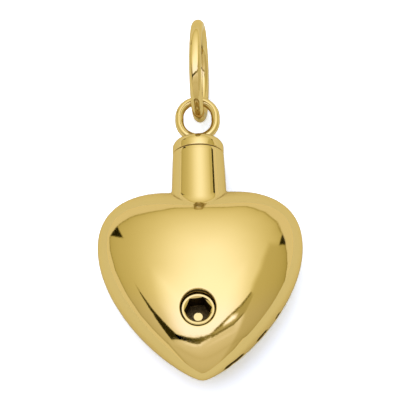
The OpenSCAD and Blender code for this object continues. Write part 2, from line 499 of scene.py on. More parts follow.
class Graph:
    """A node tree that is filled from Python expressions."""

    def __init__(self, tree: bpy.types.NodeTree) -> None:
        """Empties the tree and keeps it."""
        tree.nodes.clear()
        self.tree = tree

    def node(
        self,
        kind: str,
        settings: dict[str, Any] | None = None,
        inputs: dict[str | int, Any] | Sequence[Any] = (),
    ) -> bpy.types.Node:
        """Adds one node.

        Args:
            kind: Blender's name of the node type.
            settings: properties that are set first.
            inputs: values or links, by socket name or number, or in the sockets' order.

        Returns:
            The new node.
        """
        made = self.tree.nodes.new(kind)
        for name, setting in (settings or {}).items():
            setattr(made, name, setting)
        pairs = inputs.items() if isinstance(inputs, dict) else enumerate(inputs)
        for key, given in pairs:
            if isinstance(given, Value):
                self.tree.links.new(given.socket, made.inputs[key])
            else:
                made.inputs[key].default_value = given
        return made

    def add(
        self,
        kind: str,
        settings: dict[str, Any] | None = None,
        inputs: dict[str | int, Any] | Sequence[Any] = (),
        output: str | int = 0,
    ) -> Value:
        """Adds one node and gives one of its outputs as a value."""
        return Value(self, self.node(kind, settings, inputs).outputs[output])

    def split(self, vector: Value) -> tuple[Value, Value, Value]:
        """The three parts of a vector."""
        parts = self.node("ShaderNodeSeparateXYZ", None, [vector])
        return tuple(Value(self, out) for out in parts.outputs)

    def mix(self, mask: Value, first: Value | Sequence[float], second: Value | Sequence[float]) -> Value:
        """Colour that goes from the first to the second as the mask goes from 0 to 1.

        Args:
            mask: how much of the second colour shows.
            first: a value, or red, green and blue.
            second: a value, or red, green and blue.

        Returns:
            The mixed colour.
        """
        a, b = (given if isinstance(given, Value) else (*given, 1.0) for given in (first, second))
        inputs = {MIX_FACTOR: mask, MIX_FIRST: a, MIX_SECOND: b}
        return self.add("ShaderNodeMix", {"data_type": "RGBA"}, inputs, MIX_COLOUR)

    def noise(self, where: Value, scale: float, detail: float, rough: float = 0.5) -> Value:
        """Smooth noise from about 0 to 1 with so many features a metre."""
        inputs = {"Vector": where, "Scale": scale, "Detail": detail, "Roughness": rough}
        return self.add("ShaderNodeTexNoise", None, inputs, "Fac")


class Slot(Enum):
    """Material slots."""

    GOLD = "polished_gold"
    SCREW = "screw_gold"


@dataclass(frozen=True)
class PolishedGold:
    """Mirror polish with faint wear, and painted shade with tarnish in grooves and recesses."""

    name: str
    slot: Slot
    colour: Triple
    edge_colour: Triple = (1.0, 0.86, 0.58)
    deep_colour: Triple = (0.03, 0.02, 0.008)
    brown_colour: Triple = (0.16, 0.1, 0.04)
    paler: float = 1.03
    drift_scale: float = 260.0
    fine_scale: float = 9000.0
    mottle_scale: float = 7000.0
    mottle_gain: float = 1.4
    mottle_least: float = 0.3
    brown_from: Pair = (0.35, 0.75)
    shade_and_tarnish_from: Pair = (0.12, 0.8)
    shade_and_tarnish_rough: float = 0.35
    roughness: float = 0.05
    wear: float = 0.03
    hairline_scale: float = 1500.0
    hairline_turn: Triple = (0.3, 0.2, 0.6)
    hairline_stretch: Triple = (1.0, 14.0, 5.0)
    hairline_from: Pair = (0.58, 0.75)
    hairline_bump: float = 0.02
    bump_height: float = 2e-5

    @cached_property
    def material(self) -> bpy.types.Material:
        """Builds the material, once for all the pieces that wear it.

        The colour drifts a little over a few millimetres, the roughness follows fine
        hairlines, and the recess attribute paints shade and tarnish into grooves and recesses and dulls them.

        Returns:
            The new material.
        """
        made = bpy.data.materials.new(self.name)
        made.use_nodes = True
        graph = Graph(made.node_tree)
        where = graph.add("ShaderNodeTexCoord", None, (), "Object")
        recess = graph.add("ShaderNodeAttribute", {"attribute_name": "recess"}, (), "Fac")
        drift = graph.noise(where, self.drift_scale, 2.0)
        fine = graph.noise(where, self.fine_scale, 2.0, 0.6)
        mapping = {"Vector": where, "Rotation": self.hairline_turn, "Scale": self.hairline_stretch}
        stretched = graph.add("ShaderNodeMapping", None, mapping)
        hairlines = graph.noise(stretched, self.hairline_scale, 2.0, 0.7).between(*self.hairline_from)
        base = graph.mix(drift, self.colour, [min(1.0, self.paler * part) for part in self.colour])
        mottle = graph.noise(where, self.mottle_scale, 2.0, 0.6)
        # Painted shade and tarnish: the mottled recess attribute darkens grooves and recesses towards dark
        # brown
        shade_and_tarnish = (recess * (mottle * self.mottle_gain + self.mottle_least)).between(*self.shade_and_tarnish_from)
        deep = graph.mix(mottle.between(*self.brown_from), self.deep_colour, self.brown_colour)
        colour = graph.mix(shade_and_tarnish, base, deep)
        worn = hairlines * self.wear + fine * (self.wear / 3)
        roughness = self.roughness + worn + shade_and_tarnish * self.shade_and_tarnish_rough
        relief = {"Strength": self.hairline_bump, "Distance": self.bump_height, "Height": hairlines + fine}
        bump = graph.add("ShaderNodeBump", None, relief)
        shader = graph.node(
            "ShaderNodeBsdfPrincipled",
            None,
            {
                "Base Color": colour,
                "Metallic": 1.0,
                "Roughness": roughness,
                "Specular Tint": (*self.edge_colour, 1.0),
                "Normal": bump,
            },
        )
        graph.node("ShaderNodeOutputMaterial", None, [Value(graph, shader.outputs[0])])
        return made


# Pieces


@dataclass
class HeartShell:
    """Heart with its neck, the screw's threaded recess, the cuts in the rim and the chamber."""

    sizes: Sizes
    wall: float = 0.9
    boss_wall: float = 0.75
    fill_r: float = 0.9
    seat_r: float = 1.2
    seat_dark: float = 0.7
    lip: float = 0.11
    # Painted shade on the recess's rounded lip and in the bore's thread grooves, from 0 to 1
    lip_painted_shade: float = 0.1
    thread_painted_shade: Pair = (0.25, 0.6)
    thread_runout: float = 0.08
    seam_bevel: float = 0.07
    slit_depth: float = 0.24
    slit_w: float = 0.75
    slit_drop: float = 0.22
    slit_soft: float = 0.12
    slit_least: float = 0.05
    slit_near: float = 1.5
    # Painted shade in the rim's cuts: how fast it rises inside a cut's outline and with the press's depth
    slit_painted_shade: Pair = (3.0, 4.0)
    slits: tuple[Pair, ...] = ((0.37, 0.08), (0.49, 0.13), (0.69, 0.20))
    slit_crowd: float = 3.0
    slit_crowd_reach: float = 0.22
    outline_steps: int = 140
    neck_steps: int = 39
    dome_steps: int = 92
    bore_steps: int = 56
    inner_steps: int = 16
    cone_steps: int = 32
    tip_share: float = 0.9
    solder_fillet: float = 0.26
    solder_corner: float = 3.0
    solder_from: float = 0.4
    fillet_steps: int = 5
    slope_step: float = 1e-3
    most_share: float = 1.6
    ray_from: float = 0.45
    halvings: int = 40

    def _fillet(self, points: Array) -> Array:
        """Rounds the corner between the heart and its neck with solder.

        Both distances, to the heart's skin and to the neck's cone, are blended into one by
        a smooth minimum, and each point near the corner moves along the blend's slope, by
        Newton's steps, until the blended distance is 0. The heart's distance is z over half
        the thickness, squared, plus the share squared less 1, divided by its own slope.

        Args:
            points: points of the skin or of the neck.

        Returns:
            The points, moved where the corner is near.
        """
        sizes, form, width = self.sizes, self.sizes.form, self.solder_fillet
        r = np.hypot(points[:, 0], points[:, 2])
        near = (points[:, 1] > self.solder_from * form.lobe_h) & (r < sizes.neck_base_r + 2 * width)
        if not near.any():
            return points
        moved = points.copy()
        p = points[near]
        step, most = self.slope_step, self.most_share
        taper = (sizes.neck_base_r - sizes.neck_top_r) / sizes.neck_h
        for _ in range(self.fillet_steps):
            spot = p[:, :2]
            f = form.share(spot, most)
            rise_x, rise_y = (
                (form.share(spot + ahead, most) - form.share(spot - ahead, most)) / (2 * step)
                for ahead in step * np.eye(2)
            )
            level = (p[:, 2] / form.half_t) ** 2 + f**2 - 1
            slope = np.stack([2 * f * rise_x, 2 * f * rise_y, 2 * p[:, 2] / form.half_t**2], axis=1)
            size = np.linalg.norm(slope, axis=1) + TINY
            to_heart, heart_way = level / size, slope / size[:, None]
            r = np.hypot(p[:, 0], p[:, 2]) + TINY
            to_neck = r - sizes.neck_r(p[:, 1])
            neck_way = np.stack([p[:, 0] / r, np.full(len(r), taper), p[:, 2] / r], axis=1)
            mix = np.clip(0.5 + (to_neck - to_heart) / (2 * width), 0, 1)[:, None]
            blend = to_neck[:, None] * (1 - mix) + to_heart[:, None] * mix - width * mix * (1 - mix)
            way = heart_way * mix + neck_way * (1 - mix)
            p = p - blend * way / (np.sum(way * way, axis=1, keepdims=True) + TINY)
        moved[near] = p
        return moved

    def _neck_side(self) -> Array:
        """Point where the neck's right side meets the outline."""
        top = self.sizes.form.shoulder(SHOULDER_STEPS)
        beyond = top[:, 0] - self.sizes.neck_r(top[:, 1])
        return np.array([np.interp(0, beyond, top[:, 0]), np.interp(0, beyond, top[:, 1])])

    def _outline(self) -> tuple[Array, int]:
        """Ends of the rays on the outline.

        The rays run clockwise from the neck's right side to its left side, closer together
        where the outline bends, at the neck's corner and at the ends of the cuts. Then they
        run across the neck from left to right, spaced like points round a circle seen from
        its side.

        Returns:
            The outline's points, and how many of them lie outside the neck.
        """
        side = self._neck_side()
        half = self.sizes.form.right_half
        half = np.vstack([side, half[(half[:, 0] > side[0]) | (half[:, 1] < 0)]])
        step = np.diff(half, axis=0)
        length = np.hypot(step[:, 0], step[:, 1])
        way = np.unwrap(np.arctan2(step[:, 1], step[:, 0]))
        bend = np.abs(np.diff(way, prepend=way[0]))
        crowd = self.solder_corner * np.exp(-np.hypot(*(half[1:] - side).T) / self.solder_fillet)
        flank = self.sizes.form.flank(FLANK_STEPS + 1)
        for share, cut_length in self.slits:
            away = np.hypot(*(half[1:] - flank[round(share * FLANK_STEPS)]).T)
            end = max(self.slit_w, cut_length * self.sizes.form.tip_h) / 2
            crowd += self.slit_crowd * np.exp(-(((away - end) / self.slit_crowd_reach) ** 2))
        along = np.concatenate([[0], np.cumsum(length * (1 + crowd) + self.tip_share * bend)])
        wanted = np.linspace(0, along[-1], self.outline_steps + 1)
        right = np.stack([np.interp(wanted, along, half[:, k]) for k in (0, 1)], axis=1)
        outside = np.vstack([right, right[-2::-1] * [-1, 1]])
        top = self.sizes.form.shoulder(SHOULDER_STEPS)
        turn = np.linspace(-math.pi / 2, math.pi / 2, self.neck_steps + 2)[1:-1]
        across = side[0] * np.sin(turn)
        inside = np.stack([across, np.interp(np.abs(across), top[:, 0], top[:, 1])], axis=1)
        return np.vstack([outside, inside]), len(outside)

    def _ray_ends(self, rim: Array, free: int) -> Array:
        """Share of each ray at which the skin ends: 1, or where it meets the neck's cone.

        The meeting is found by halving the stretch that is left of the ray again and again.

        Args:
            rim: the rays' ends on the outline.
            free: how many rays lie outside the neck.

        Returns:
            The share of each ray.
        """
        centre = self.sizes.screw_at
        low, high = np.full(len(rim), self.ray_from), np.ones(len(rim))
        for _ in range(self.halvings):
            middle = (low + high) / 2
            spot = centre + middle[:, None] * (rim - centre)
            beyond = self.sizes.form.height(spot) ** 2 + spot[:, 0] ** 2 - self.sizes.neck_r(spot[:, 1]) ** 2
            low, high = np.where(beyond > 0, middle, low), np.where(beyond > 0, high, middle)
        ends = (low + high) / 2
        ends[:free] = 1.0
        return ends

    def _cut(self, x: Array, y: Array, z: Array) -> tuple[Array, Array, Array]:
        """Presses the short cuts into the rim.

        A point within a cut's round-ended outline moves in along the flank's normal until
        it lies the cut's depth under the outline.

        Args:
            x: places across the heart.
            y: places along the heart.
            z: heights.

        Returns:
            The new x and y, and the painted shade of the cuts at each point, from 0 to 1.
        """
        flank = self.sizes.form.flank(FLANK_STEPS + 1)
        deep = np.zeros_like(x)
        for share, length in self.slits:
            at = round(share * FLANK_STEPS)
            spot = flank[at]
            way = flank[at + 4] - spot
            way = way / np.hypot(*way)
            normal = np.array([-way[1], way[0]])
            run = (x - spot[0]) * way[0] + (y - spot[1]) * way[1]
            out = (x - spot[0]) * normal[0] + (y - spot[1]) * normal[1]
            half = max(self.slit_least, length * self.sizes.form.tip_h - self.slit_w) / 2
            past = np.maximum(np.abs(run) - half, 0)
            radius = np.hypot(past, z + self.slit_drop * self.slit_w)
            mask = smooth((self.slit_w / 2 - radius) / self.slit_soft + 0.5) * (np.abs(out) < self.slit_near)
            move = (np.minimum(out, -self.slit_depth) - out) * mask
            x, y = x + move * normal[0], y + move * normal[1]
            # Painted shade on the cut's walls: darker inside the outline and where the press is deep
            inside, pressed = self.slit_painted_shade[0] * mask, -self.slit_painted_shade[1] * move / self.slit_depth
            deep = np.maximum(deep, smooth(inside) * smooth(pressed))
        return x, y, deep

    def _bore_r(self, z: Array, turn: Array) -> tuple[Array, Array]:
        """Radius of the threaded bore: a wave of V-grooves that climbs one pitch a turn.

        Args:
            z: heights in the bore.
            turn: angles round the bore.

        Returns:
            The radius, and how deep in a groove each point lies, from 0 to 1.
        """
        phase = (z / self.sizes.thread_pitch - turn / (2 * math.pi)) % 1.0
        groove = 1 - 2 * np.abs(phase - 0.5)
        return self.sizes.bore_r + self.sizes.thread_depth * groove, groove

    def _skin(self, surface: Surface, rim: Array, free: int) -> Array:
        """Adds the front skin from the recess to the rim, the back skin on to its pole, and the neck.

        Args:
            surface: the surface to add to.
            rim: the rays' ends on the outline.
            free: how many rays lie outside the neck.

        Returns:
            Point numbers of the skin's edge round the recess.
        """
        centre, form = self.sizes.screw_at, self.sizes.form
        away = rim - centre
        ends = self._ray_ends(rim, free)

        def skin(shares: Array, side: int) -> tuple[Array, Array]:
            """Points of the skin on one side at a share of each ray, with the painted shade of the cuts."""
            spots = centre + shares[:, None] * away
            z = side * form.height(spots)
            z[:free] = np.where(shares[:free] > 1 - TINY, 0.0, z[:free])
            x, y, deep = self._cut(spots[:, 0], spots[:, 1], z)
            return self._fillet(np.stack([x, y, z], axis=1)), deep

        def round_foot(upper: Array, lower: Array) -> Array:
            """Rows of the neck's foot: across the front skin, and back across the back skin."""
            return np.concatenate([upper[free - 1 :], upper[:1], lower[: free - 1 : -1]])

        spread = np.sin(np.linspace(0, math.pi / 2, self.dome_steps + 1))
        start = (self.sizes.bore_r + self.lip) / np.hypot(*away.T)
        front = mouth = surface.ring(*skin(start, 1))
        for share in spread[1:]:
            front = surface.band(front, *skin(start + (ends - start) * share, 1))
        points, deep = skin(ends, -1)
        back = low = np.concatenate([front[:free], surface.ring(points[free:], deep[free:])])
        for share in spread[-2:0:-1]:
            back = surface.band(back, *skin(ends * share, -1))
        pole = np.append(centre, -form.height(centre[None]))
        surface.fan(pole, back)

        across = centre + ends[:, None] * away
        raw = [np.column_stack([across, side * form.height(across)]) for side in (1, -1)]
        raw[0][[0, free - 1], 2] = 0.0
        self._neck(surface, round_foot(front, low), round_foot(*raw))
        return mouth

    def _neck(self, surface: Surface, foot: Array, start: Array) -> None:
        """Adds the neck's cone, its rounded rim and the socket that takes the cap's spigot.

        The cone's lines run straight from each point of its foot to the rim, at the foot
        point's own angle round the neck, and stand close together at the soldered corner.

        Args:
            surface: the surface to add to.
            foot: point numbers of the neck's foot.
            start: where the bare cone meets the heart's skin, a point for each of the foot's.
        """
        sizes, row = self.sizes, foot
        angle = np.arctan2(start[:, 0], start[:, 2])
        top = sizes.seam_y - self.seam_bevel
        for share in np.linspace(0, 1, self.cone_steps + 1)[1:] ** 2:
            y = start[:, 1] + (top - start[:, 1]) * share
            row = surface.band(row, self._fillet(sizes.round_neck(angle, sizes.neck_r(y), y)))
        for corner in quarter(4):
            radius = sizes.neck_top_r - self.seam_bevel * (1 - math.cos(corner))
            y = top + self.seam_bevel * math.sin(corner)
            row = surface.band(row, sizes.round_neck(angle, radius, y))
        rim_r = sizes.neck_top_r - self.seam_bevel - sizes.seam_floor
        socket_r = sizes.spigot_r + sizes.seam_gap
        floor_y = sizes.seam_y - sizes.spigot_h - sizes.seam_gap
        for radius, y in [(rim_r, sizes.seam_y), (socket_r, sizes.seam_y), (socket_r, floor_y)]:
            row = surface.band(row, sizes.round_neck(angle, radius, y), INSIDE)
        surface.fan(np.array([0, floor_y, 0]), row, INSIDE)

    def _recess(self, surface: Surface, row: Array, turn: Array) -> Array:
        """Adds the rounded lip, the threaded wall, the screw's seat and the filling hole.

        Args:
            surface: the surface to add to.
            row: point numbers of the skin's edge round the recess.
            turn: directions of the rays, in radians.

        Returns:
            Point numbers of the filling hole's inner edge.
        """
        sizes = self.sizes

        def skin_z(radius: float) -> Array:
            """Height of the front skin at a distance from the screw's axis."""
            return sizes.form.height(sizes.round_screw(turn, radius, 0.0)[:, :2])

        # The rounded lip gets a little painted shade
        for corner in quarter(5):
            radius = sizes.bore_r + self.lip * (1 - math.sin(corner))
            z = skin_z(radius) - self.lip * (1 - math.cos(corner))
            row = surface.band(row, sizes.round_screw(turn, radius, z), self.lip_painted_shade)
        seat_z = sizes.screw_face_z - sizes.screw_l - sizes.seat_gap
        mouth = skin_z(sizes.bore_r) - self.lip
        # The thread grooves get painted shade, darkest at the groove's root
        least, more = self.thread_painted_shade
        for share in np.linspace(0, 1, self.bore_steps + 1)[1:]:
            z = mouth + (seat_z - mouth) * share
            radius, groove = self._bore_r(z, turn)
            radius = sizes.bore_r + (radius - sizes.bore_r) * smooth((mouth - z) / self.thread_runout)
            row = surface.band(row, sizes.round_screw(turn, radius, z), least + more * groove)
        for radius, z in [(self.seat_r, seat_z), (self.fill_r, seat_z), (self.fill_r, seat_z - sizes.seat_h)]:
            row = surface.band(row, sizes.round_screw(turn, radius, z), self.seat_dark)
        return row

    def _chamber(self, surface: Surface, row: Array, turn: Array) -> None:
        """Adds the chamber: under the boss, up its wall, and along the inner skin round to the back.

        Args:
            surface: the surface to add to.
            row: point numbers of the filling hole's inner edge.
            turn: directions of the rays, in radians.
        """
        sizes = self.sizes
        inner = sizes.form.inset(self.wall)
        reach = inner.reach(sizes.screw_at, turn)
        boss_r = sizes.bore_r + self.boss_wall
        foot_z = sizes.screw_face_z - sizes.screw_l - sizes.seat_gap - sizes.seat_h

        def lining(shares: float | Array, side: int) -> Array:
            """Points of the chamber's skin on one side at a share of each ray."""
            points = sizes.round_screw(turn, shares * reach, 0.0)
            points[:, 2] = side * inner.height(points[:, :2])
            return points

        row = surface.band(row, sizes.round_screw(turn, boss_r, foot_z), INSIDE)
        start = boss_r / reach
        spread = np.sin(np.linspace(0, math.pi / 2, self.inner_steps + 1))
        for share in spread:
            row = surface.band(row, lining(start + (1 - start) * share, 1), INSIDE)
        for share in spread[-2:0:-1]:
            row = surface.band(row, lining(share, -1), INSIDE)
        pole = np.append(sizes.screw_at, -inner.height(sizes.screw_at[None]))
        surface.fan(pole, row, INSIDE)

    def build(self) -> bpy.types.Object:
        """Builds the closed shell: skin, neck, recess, seat, filling hole and chamber.

        Returns:
            The new object.
        """
        surface = Surface()
        rim, free = self._outline()
        turn = np.arctan2(*(rim - self.sizes.screw_at).T[::-1])
        mouth = self._skin(surface, rim, free)
        boss_foot = self._recess(surface, mouth, turn)
        self._chamber(surface, boss_foot, turn)
        return surface.build("heart_shell", self.sizes.lying().place)


@dataclass
class NeckCap:
    """Domed cap with its spigot, the solder on its top and the oval loop."""

    sizes: Sizes
    shoulder: float = 0.7
    bevel: float = 0.08
    spigot_bevel: float = 0.15
    spigot_dark: float = 0.5
    loop_w: float = 3.55
    loop_h: float = 3.88
    wire: float = 0.68
    loop_sink: float = 0.04
    solder_h: float = 0.3
    solder_spread: Pair = (0.95, 0.42)
    solder_edge: float = 0.85
    segments: int = 128
    loop_steps: int = 96
    wire_sides: int = 40
    top_rows: int = 18

    @property
    def top_y(self) -> float:
        """Height of the cap's flat top."""
        return self.sizes.seam_y + self.sizes.cap_h

    @property
    def loop_y(self) -> float:
        """Height of the loop's middle."""
        return self.top_y + self.loop_h / 2 - self.loop_sink

    def _profile(self) -> list[Triple]:
        """Radius, height and groove depth of each ring, from the spigot's foot to the top's rim."""
        sizes = self.sizes
        spigot, foot = sizes.spigot_r, sizes.seam_y - sizes.spigot_h
        seam, cap_r = sizes.seam_y + sizes.seam_gap, sizes.neck_top_r
        rows = [
            (spigot - self.spigot_bevel, foot, self.spigot_dark),
            (spigot, foot + self.spigot_bevel, self.spigot_dark),
            (spigot, seam, INSIDE),
            (cap_r - self.bevel - sizes.seam_floor, seam, INSIDE),
        ]
        for turn in [0, *quarter(4)]:
            radius = cap_r - self.bevel * (1 - math.sin(turn))
            rows.append((radius, seam + self.bevel * (1 - math.cos(turn)), 0.0))
        for turn in [0, *quarter(18)]:
            radius = cap_r - self.shoulder * (1 - math.cos(turn))
            rows.append((radius, self.top_y - self.shoulder * (1 - math.sin(turn)), 0.0))
        return rows

    def _solder(self, x: Array, z: Array) -> Array:
        """Height of the solder: a bell that is long under the wire and short across it."""
        long, short = self.solder_spread
        return self.solder_h * np.exp(-((x / long) ** 2) - (z / short) ** 2)

    def _loop(self, surface: Surface) -> None:
        """Adds the loop: a wire's circle carried round an oval of two half circles and two lines."""
        half = np.linspace(0, math.pi, self.loop_steps + 1)
        turn = np.concatenate([half, half + math.pi])
        straight = np.repeat([1, -1], len(half)) * (self.loop_h - self.loop_w) / 2
        rows = []
        for angle in around(self.wire_sides):
            reach = (self.loop_w - self.wire) / 2 + self.wire / 2 * math.cos(angle)
            z = np.full(len(turn), self.wire / 2 * math.sin(angle))
            y = self.loop_y + straight + reach * np.sin(turn)
            rows.append(surface.ring(np.stack([reach * np.cos(turn), y, z], axis=1)))
        for lower, upper in zip(rows, rows[1:] + rows[:1]):
            surface.bridge(lower, upper)

    def build(self) -> bpy.types.Object:
        """Builds the cap with its loop.

        Returns:
            The new object.
        """
        sizes, surface = self.sizes, Surface()
        angle = around(self.segments)
        (radius, y, dark), *profile = self._profile()
        row = surface.ring(sizes.round_neck(angle, radius, y), dark)
        surface.fan(np.array([0, y, 0]), row, dark)
        for radius, y, dark in profile:
            row = surface.band(row, sizes.round_neck(angle, radius, y), dark)
        rim = sizes.neck_top_r - self.shoulder
        for share in np.linspace(1, 0, self.top_rows + 1)[1:-1]:
            fade = 1 - smooth((share - self.solder_edge) / (1 - self.solder_edge))
            rise = self._solder(rim * share * np.sin(angle), rim * share * np.cos(angle)) * fade
            row = surface.band(row, sizes.round_neck(angle, rim * share, self.top_y + rise))
        surface.fan(np.array([0, self.top_y + self.solder_h, 0]), row)
        self._loop(surface)
        return surface.build("cap_with_loop", sizes.lying().place)


@dataclass
class ClosureScrew:
    """Grub screw with a helical thread and a hexagon socket with a drilled middle."""

    sizes: Sizes
    flats: float = 1.85
    socket_depth: float = 1.6
    socket_turn_deg: float = 6.0
    face_bevel: float = 0.06
    countersink_r: float = 1.08
    countersink_slope: float = 0.75
    pilot_r: float = 0.34
    pilot_depth: float = 0.05
    foot_dark: float = 0.4
    # Painted shade in the thread's grooves, from 0 to 1
    thread_painted_shade: Pair = (0.1, 0.75)
    thread_runout: float = 0.25
    thread_rows: int = 48
    segments: int = 144

    def _hexagon(self, turn: Array) -> Array:
        """Radius of the hexagon in each direction: half its flats over the cosine from a flat's middle."""
        sixth = math.pi / 3
        off = (turn - math.radians(self.socket_turn_deg)) % sixth - sixth / 2
        return self.flats / 2 / np.cos(off)

    def build(self) -> bpy.types.Object:
        """Builds the screw as one closed surface, from its foot up, over its face and into the socket.

        Returns:
            The new object.
        """
        sizes, surface = self.sizes, Surface()
        turn = around(self.segments, self.socket_turn_deg)
        face = sizes.screw_face_z
        foot = face - sizes.screw_l
        top = face - self.face_bevel
        foot_r = sizes.screw_r - 2 * sizes.thread_depth
        row = surface.ring(sizes.round_screw(turn, foot_r, foot), self.foot_dark)
        surface.fan(np.append(sizes.screw_at, foot), row, self.foot_dark)
        # The thread's grooves get painted shade, darkest at the groove's root
        least, more = self.thread_painted_shade
        for z in np.linspace(foot + sizes.thread_depth, top, self.thread_rows):
            phase = (z / sizes.thread_pitch - turn / (2 * math.pi)) % 1.0
            groove = (1 - np.abs(2 * phase - 1)) * smooth(min(z - foot, top - z) / self.thread_runout)
            radius = sizes.screw_r - sizes.thread_depth * groove
            row = surface.band(row, sizes.round_screw(turn, radius, z), least + more * groove)
        socket = self._hexagon(turn)
        sunk = face - (self.countersink_r - socket) * self.countersink_slope
        floor = face - self.socket_depth

        # Radius, height and darkness of each ring, from the face into the socket: the socket's walls and
        # floor are painted dark and the drilled middle is left bright
        rings = [
            (sizes.screw_r - self.face_bevel, face, 0.0),
            (self.countersink_r + 0.02, face, 0.0),
            (self.countersink_r, face - 0.008, 0.05),
            (socket + 0.012, sunk, 0.2),
            (socket, sunk - 0.03, 0.6),
            (socket, sunk * 0.6 + floor * 0.4, 0.97),
            (socket - 0.02, floor + 0.02, 0.97),
            (socket - 0.05, floor, 0.9),
            (self.pilot_r * 1.5, floor, 0.8),
            (self.pilot_r + 0.02, floor, 0.8),
            (self.pilot_r, floor - self.pilot_depth, 0.05),
            (self.pilot_r * 0.5, floor - self.pilot_depth, 0.0),
        ]
        for radius, z, dark in rings:
            row = surface.band(row, sizes.round_screw(turn, radius, z), dark)
        surface.fan(np.append(sizes.screw_at, floor - self.pilot_depth), row)
        return surface.build("socket_screw", sizes.lying().place, 30.0)


@dataclass
class JumpRing:
    """Round wire ring, cut once at a slant, that stands on the surface, leaning and turned a little."""

    wire_r: float = 0.474
    ring_r: float = 3.62
    flat_at_deg: float = 82.0
    flat_spread_deg: float = 38.0
    flatness: float = 0.8
    lean_deg: float = 4.5
    turn_deg: float = 1.7
    cut: float = 0.1
    cut_slant_deg: float = 25.0
    end_bevel: float = 0.05
    end_dark: float = 0.5
    sides: int = 48
    rows: int = 320

    def place(self, points: Array) -> Array:
        """Leans the ring about Y, turns it about Z, moves it to its CAD node's middle and makes metres."""
        low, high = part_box("jump_ring")
        lean = Matrix.Rotation(math.radians(-self.lean_deg), 3, "Y")
        turn = Matrix.Rotation(math.radians(-self.turn_deg), 3, "Z")
        return points @ np.array(turn @ lean).T * METRES + np.array((low + high) / 2)

    def build(self) -> bpy.types.Object:
        """Builds the ring: a wire's circle carried along a circle that starts and ends at the cut.

        The wire's section is a superellipse whose power grows from 2, a circle, to 2.8 where
        the ring is pressed flat. The row that a wire's point starts on lies on the cut's
        slanted plane, so each point round the wire has its own share of the turn.

        Returns:
            The new object.
        """
        surface = Surface()
        tube = around(self.sides)
        tilt = math.tan(math.radians(self.cut_slant_deg))

        def row(share: float, radius: float, inward: float) -> Array:
            """Points round the wire at a share of the turn, moved in from the cut's planes."""
            gap = self.cut / 2 / math.cos(math.radians(self.cut_slant_deg)) + inward
            off = share * 360 - self.flat_at_deg
            power = 2 / (2 + self.flatness * math.exp(-((off / self.flat_spread_deg) ** 2)))
            side, out = (radius * np.sign(w) * np.abs(w) ** power for w in (np.cos(tube), np.sin(tube)))
            reach = self.ring_r + out
            start = (side * tilt + gap) / reach
            end = 2 * math.pi + (side * tilt - gap) / reach
            turn = start + (end - start) * share
            return np.stack([side, -reach * np.cos(turn), reach * np.sin(turn)], axis=1)

        line = surface.ring(row(0.0, self.wire_r - self.end_bevel, 0.0), self.end_dark)
        surface.fan(row(0.0, 0.0, 0.0)[0], line, self.end_dark)
        for share in np.linspace(0, 1, self.rows + 1):
            line = surface.band(line, row(share, self.wire_r, self.end_bevel))
        line = surface.band(line, row(1.0, self.wire_r - self.end_bevel, 0.0), self.end_dark)
        surface.fan(row(1.0, 0.0, 0.0)[0], line, self.end_dark)
        return surface.build("jump_ring_wire", self.place)


# Studio


@dataclass(frozen=True)
class Screen:
    """Light or dark area of the studio with straight soft edges.

    Its corners and lengths are in degrees from the point overhead, to the right and to
    the front. The outline has no inward corners.
    """

    level: float
    corners: tuple[Pair, ...]
    soft: float = 1.0
    slope: Pair = (0.0, 0.0)

    def depth(self, where: Value) -> Value:
        """How far each direction lies inside the nearest edge; it is negative outside.

        Args:
            where: directions as degrees to the right, degrees to the front and 1.

        Returns:
            The least of the directions' distances from the edges' lines.
        """
        corners = np.array(self.corners)
        steps = np.roll(corners, -1, axis=0) - corners
        normals = np.stack([-steps[:, 1], steps[:, 0]], axis=1) / np.hypot(*steps.T)[:, None]
        offsets = np.sum(normals * corners, axis=1)
        inward = np.sign(normals @ corners.mean(axis=0) - offsets)
        planes = inward[:, None] * np.column_stack([normals, -offsets])
        nearest = where.dot(planes[0])
        for plane in planes[1:]:
            nearest = nearest.math("MINIMUM", where.dot(plane))
        return nearest

    def over(self, light: Value, where: Value) -> Value:
        """Lays the screen over the light behind it.

        Args:
            light: brightness of what lies behind.
            where: directions as degrees to the right, degrees to the front and 1.

        Returns:
            The brightness with the screen in front.
        """
        middle = np.array(self.corners).mean(axis=0)
        own = where.dot((*self.slope, self.level - float(np.dot(self.slope, middle))))
        return light + (own - light) * self.depth(where).between(-self.soft, self.soft)


